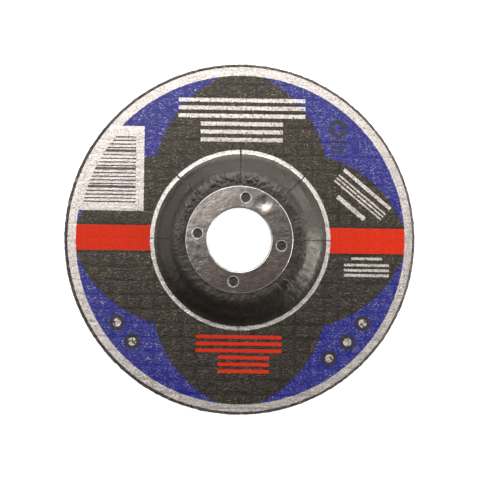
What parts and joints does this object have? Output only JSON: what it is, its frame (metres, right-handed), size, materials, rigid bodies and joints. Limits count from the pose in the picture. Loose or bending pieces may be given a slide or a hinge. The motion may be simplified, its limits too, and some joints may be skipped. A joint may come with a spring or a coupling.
{
  "type": "grinding disc",
  "caption": "Round depressed-centre grinding disc with a raised hub, a steel-lined bore, a printed paper label and a glass net on its grinding face.",
  "frame": {"origin": "on the bore's axis, in the plane of the grinding face that the disc lies on", "axes": "+Z along the bore axis out of the label side, +Y towards the top of the printed label, +X to its right"},
  "size_m": [0.125, 0.125, 0.0113],
  "materials": {
    "grain": "rough resin-bonded abrasive grain",
    "glass_strand": "resin-soaked glass strands, pressed flat",
    "steel": "brushed and lightly scratched sheet steel",
    "paper": "matt paper with specks of grain showing through",
    "hub_ink": "glossy black ink, blistered near the flange",
    "black_ink": "worn black ink with fine creases",
    "blue_ink": "speckled blue ink",
    "red_ink": "even red ink",
    "bar_ink": "thin grey-black ink",
    "spot_ink": "dark ink over blue"
  },
  "bodies": {
    "root": {"abrasive_body": "grain", "net_warp": "glass_strand", "net_weft": "glass_strand", "centre_ring": "steel", "label_paper": "paper", "print_hub": "hub_ink", "print_black": "black_ink", "print_blue": "blue_ink", "print_stripe": "red_ink", "print_bars": "bar_ink", "print_red_lines": "red_ink", "print_spots": "spot_ink"}
  },
  "joints": []
}
